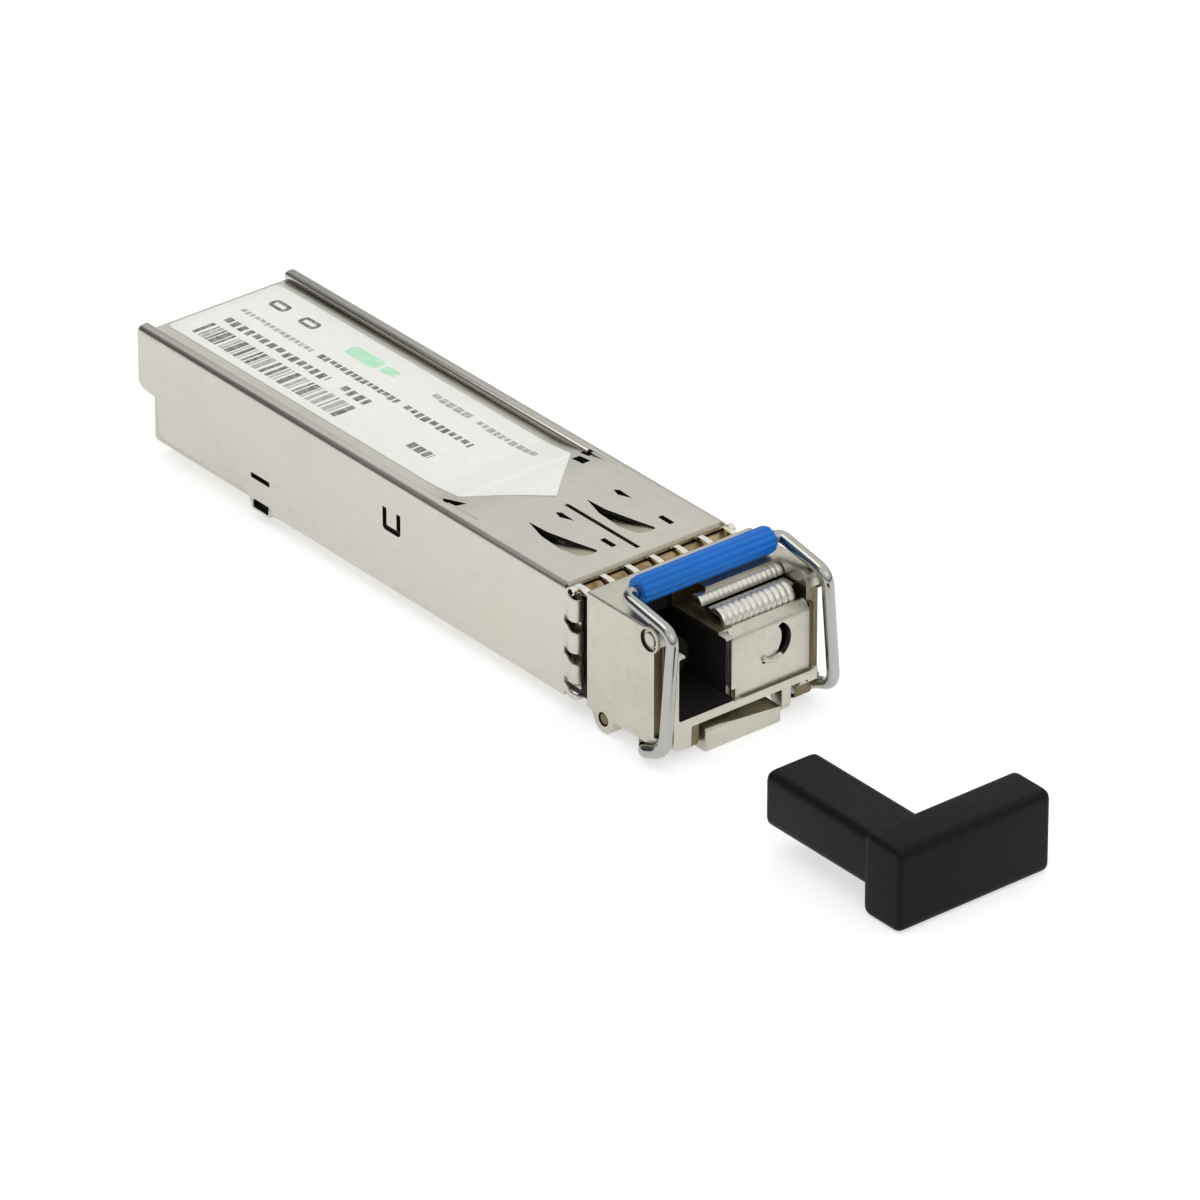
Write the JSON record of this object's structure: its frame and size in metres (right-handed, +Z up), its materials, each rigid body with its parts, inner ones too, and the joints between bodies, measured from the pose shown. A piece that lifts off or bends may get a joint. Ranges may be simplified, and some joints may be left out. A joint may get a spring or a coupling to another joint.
{
  "type": "optical transceiver module",
  "caption": "Pluggable single-fibre optical transceiver: stamped shell on a die-cast nose, open connector port, wire bail latch with a blue grip, latch lever, and a loose L-shaped dust plug.",
  "frame": {"origin": "on the flat bottom face of the die-cast housing, on the centreline, 20 mm ahead of the shell's rear end", "axes": "+X from the board connector at the rear towards the optical port, +Z up out of the label, +Y to the left when facing along +X"},
  "size_m": [0.08, 0.0157, 0.0118],
  "materials": {
    "nickel_sheet": "satin",
    "plated_zinc": "satin",
    "bright_wire": "bright",
    "spring_sheet": "bright",
    "gold_plated_can": "bright",
    "label_paper": "matte",
    "blue_plastic": "satin",
    "black_plastic": "matte",
    "white_ceramic": "smooth",
    "filter_glass": "clear",
    "polyimide": "satin",
    "green_laminate": "satin",
    "chip_epoxy": "matte",
    "ferrite": "matte",
    "capacitor_ceramic": "satin",
    "thermal_gel": "matte"
  },
  "bodies": {
    "housing": {"outer_shell": "nickel_sheet", "top_cover": "nickel_sheet", "product_label": "label_paper", "emi_spring_collar": "spring_sheet", "nose_housing": "plated_zinc", "blanking_cover": "plated_zinc", "rocker_pivot_pin": "bright_wire", "latch_return_spring": "spring_sheet", "receptacle_barrel": "nickel_sheet", "alignment_sleeve": "white_ceramic", "fibre_stub": "white_ceramic", "receptacle_saddle": "black_plastic", "optical_block": "nickel_sheet", "wavelength_filter": "filter_glass", "laser_can": "gold_plated_can", "photodiode_can": "gold_plated_can", "laser_flex": "polyimide", "photodiode_flex": "polyimide", "circuit_board": "green_laminate", "driver_chip": "chip_epoxy", "microcontroller": "chip_epoxy", "memory_chip": "chip_epoxy", "receive_amplifier": "chip_epoxy", "power_inductor_1": "ferrite", "power_inductor_2": "ferrite", "capacitor_1": "capacitor_ceramic", "capacitor_2": "capacitor_ceramic", "capacitor_3": "capacitor_ceramic", "capacitor_4": "capacitor_ceramic", "capacitor_5": "capacitor_ceramic", "capacitor_6": "capacitor_ceramic", "thermal_pad": "thermal_gel"},
    "bail": {"bail_wire": "bright_wire", "bail_sleeve": "blue_plastic"},
    "rocker": {"latch_rocker": "plated_zinc"},
    "dust_plug": {"dust_plug": "black_plastic"}
  },
  "joints": [
    {"name": "bail_hinge", "type": "hinge", "parent": "housing", "child": "bail", "pos_m": [0.0333, 0, 0], "axis": [0, 1, 0], "range_deg": [0, 90]},
    {"name": "rocker_hinge", "type": "hinge", "parent": "housing", "child": "rocker", "pos_m": [0.0292, 0, 0.00035], "axis": [0, 1, 0], "range_deg": [0, 6], "deforming": ["latch_return_spring"]},
    {"name": "dust_plug_slide", "type": "slide", "parent": "housing", "child": "dust_plug", "axis": [1, 0, 0], "range_m": [0, 0.03]}
  ],
  "couplings": [
    {"joint": "rocker_hinge", "follows": "bail_hinge", "ratio": 0.0666}
  ]
}
